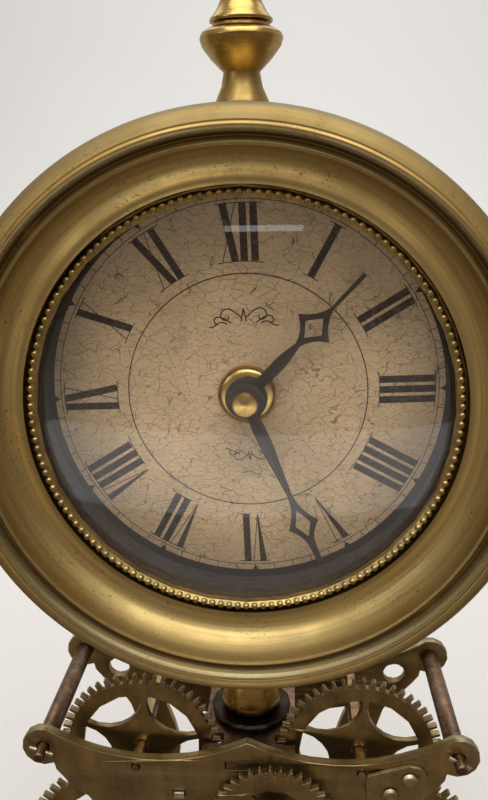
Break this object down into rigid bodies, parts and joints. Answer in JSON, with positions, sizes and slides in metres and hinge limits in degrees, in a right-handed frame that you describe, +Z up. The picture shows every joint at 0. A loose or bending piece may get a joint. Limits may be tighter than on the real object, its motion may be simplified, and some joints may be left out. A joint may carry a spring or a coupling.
{
  "type": "skeleton clock",
  "caption": "Desk clock with a round domed-glass head on a stem above an open brass frame of pierced plates, pillars and toothed wheels, on a moulded wooden base.",
  "frame": {"origin": "centre of the underside of the felt under the base", "axes": "+Z up, the dial faces -Y, +X to the right seen from the front"},
  "size_m": [0.176, 0.104, 0.3676],
  "materials": {
    "bezel_brass": "aged satin with fine turning lines",
    "drum_brass": "aged satin",
    "bead_brass": "polished beads on a dull flange",
    "dial_glass": "domed clear glass",
    "black_card": "matt black",
    "dial_paper": "cream printed face, finely crazed",
    "cover_brass": "satin, circular grain",
    "screw_steel": "turned and slotted",
    "movement_plastic": "fine texture",
    "battery": "plain wrapped cell",
    "knob_plastic": "ribbed",
    "bright_brass": "polished",
    "hand_metal": "dark bronzed",
    "finial_brass": "polished, lightly aged",
    "dark_steel": "blackened",
    "plate_brass": "dark patina, vertical grain",
    "pillar_metal": "mottled reddish-brown patina",
    "wheel_brass": "dark patina",
    "pin_wire": "pale drawn wire",
    "arbor_steel": "brown stained",
    "stud_steel": "bright",
    "base_wood": "dark stained and waxed",
    "felt": "green baize"
  },
  "bodies": {
    "clock": {"bezel": "bezel_brass", "bead_ring": "bead_brass", "glass": "dial_glass", "dial_spacer": "black_card", "dial": "dial_paper", "retaining_ring": "black_card", "case_drum": "drum_brass", "rear_cover": "cover_brass", "cover_screw_1": "screw_steel", "cover_screw_2": "screw_steel", "cover_screw_3": "screw_steel", "movement_box": "movement_plastic", "battery": "battery", "shaft_nut": "bright_brass", "finial_base": "finial_brass", "finial_spire": "finial_brass", "finial_bolt": "dark_steel", "stem": "finial_brass", "stem_washer": "dark_steel", "stem_bolt": "dark_steel", "stem_nut": "screw_steel", "front_plate": "plate_brass", "rear_plate": "plate_brass", "pillar_upper_left": "pillar_metal", "pin_upper_left": "pin_wire", "pillar_upper_right": "pillar_metal", "pin_upper_right": "pin_wire", "pillar_lower_left": "pillar_metal", "pin_lower_left": "pin_wire", "pillar_lower_right": "pillar_metal", "pin_lower_right": "pin_wire", "top_strap": "pillar_metal", "foot_bar_left": "plate_brass", "base_bolt_left": "screw_steel", "foot_bar_right": "plate_brass", "base_bolt_right": "screw_steel", "corner_plate": "plate_brass", "corner_screw_1": "screw_steel", "corner_screw_2": "screw_steel", "stop_stud": "stud_steel", "base": "base_wood", "base_felt": "felt"},
    "minute": {"minute_hand": "hand_metal", "cap_nut": "bright_brass"},
    "hour": {"hour_hand": "hand_metal"},
    "knob": {"set_knob": "knob_plastic"},
    "centre": {"centre_arbor": "arbor_steel", "centre_wheel": "wheel_brass"},
    "great_left": {"great_wheel_left": "wheel_brass", "great_arbor_left": "arbor_steel"},
    "pinion_left": {"pinion_arbor_left": "arbor_steel"},
    "upper_left": {"upper_wheel_left": "wheel_brass", "upper_arbor_left": "arbor_steel"},
    "great_right": {"great_wheel_right": "wheel_brass", "great_arbor_right": "arbor_steel"},
    "pinion_right": {"pinion_arbor_right": "arbor_steel", "front_wheel": "wheel_brass"},
    "upper_right": {"upper_wheel_right": "wheel_brass", "upper_arbor_right": "arbor_steel"}
  },
  "joints": [
    {"name": "minute_turn", "type": "hinge", "parent": "clock", "child": "minute", "pos_m": [0, 0, 0.24], "axis": [0, 1, 0], "continuous": true},
    {"name": "hour_turn", "type": "hinge", "parent": "clock", "child": "hour", "pos_m": [0, 0, 0.24], "axis": [0, 1, 0], "continuous": true},
    {"name": "knob_turn", "type": "hinge", "parent": "clock", "child": "knob", "pos_m": [0, 0, 0.24], "axis": [0, 1, 0], "continuous": true},
    {"name": "centre_turn", "type": "hinge", "parent": "clock", "child": "centre", "pos_m": [0, 0, 0.09629], "axis": [0, 1, 0], "continuous": true},
    {"name": "great_left_turn", "type": "hinge", "parent": "clock", "child": "great_left", "pos_m": [-0.0403, 0, 0.0796], "axis": [0, 1, 0], "continuous": true},
    {"name": "pinion_left_turn", "type": "hinge", "parent": "clock", "child": "pinion_left", "pos_m": [-0.00753, 0, 0.11686], "axis": [0, 1, 0], "continuous": true},
    {"name": "upper_left_turn", "type": "hinge", "parent": "clock", "child": "upper_left", "pos_m": [-0.034, 0, 0.1302], "axis": [0, 1, 0], "continuous": true},
    {"name": "great_right_turn", "type": "hinge", "parent": "clock", "child": "great_right", "pos_m": [0.0403, 0, 0.0796], "axis": [0, 1, 0], "continuous": true},
    {"name": "pinion_right_turn", "type": "hinge", "parent": "clock", "child": "pinion_right", "pos_m": [0.00753, 0, 0.11686], "axis": [0, 1, 0], "continuous": true},
    {"name": "upper_right_turn", "type": "hinge", "parent": "clock", "child": "upper_right", "pos_m": [0.034, 0, 0.1302], "axis": [0, 1, 0], "continuous": true}
  ],
  "couplings": [
    {"joint": "hour_turn", "follows": "minute_turn", "ratio": 0.083333},
    {"joint": "knob_turn", "follows": "minute_turn", "ratio": 1},
    {"joint": "great_left_turn", "follows": "centre_turn", "ratio": -0.19048},
    {"joint": "pinion_left_turn", "follows": "centre_turn", "ratio": -3.0909},
    {"joint": "upper_left_turn", "follows": "centre_turn", "ratio": 0.68},
    {"joint": "great_right_turn", "follows": "centre_turn", "ratio": -0.19048},
    {"joint": "pinion_right_turn", "follows": "centre_turn", "ratio": -3.0909},
    {"joint": "upper_right_turn", "follows": "centre_turn", "ratio": 0.68}
  ]
}
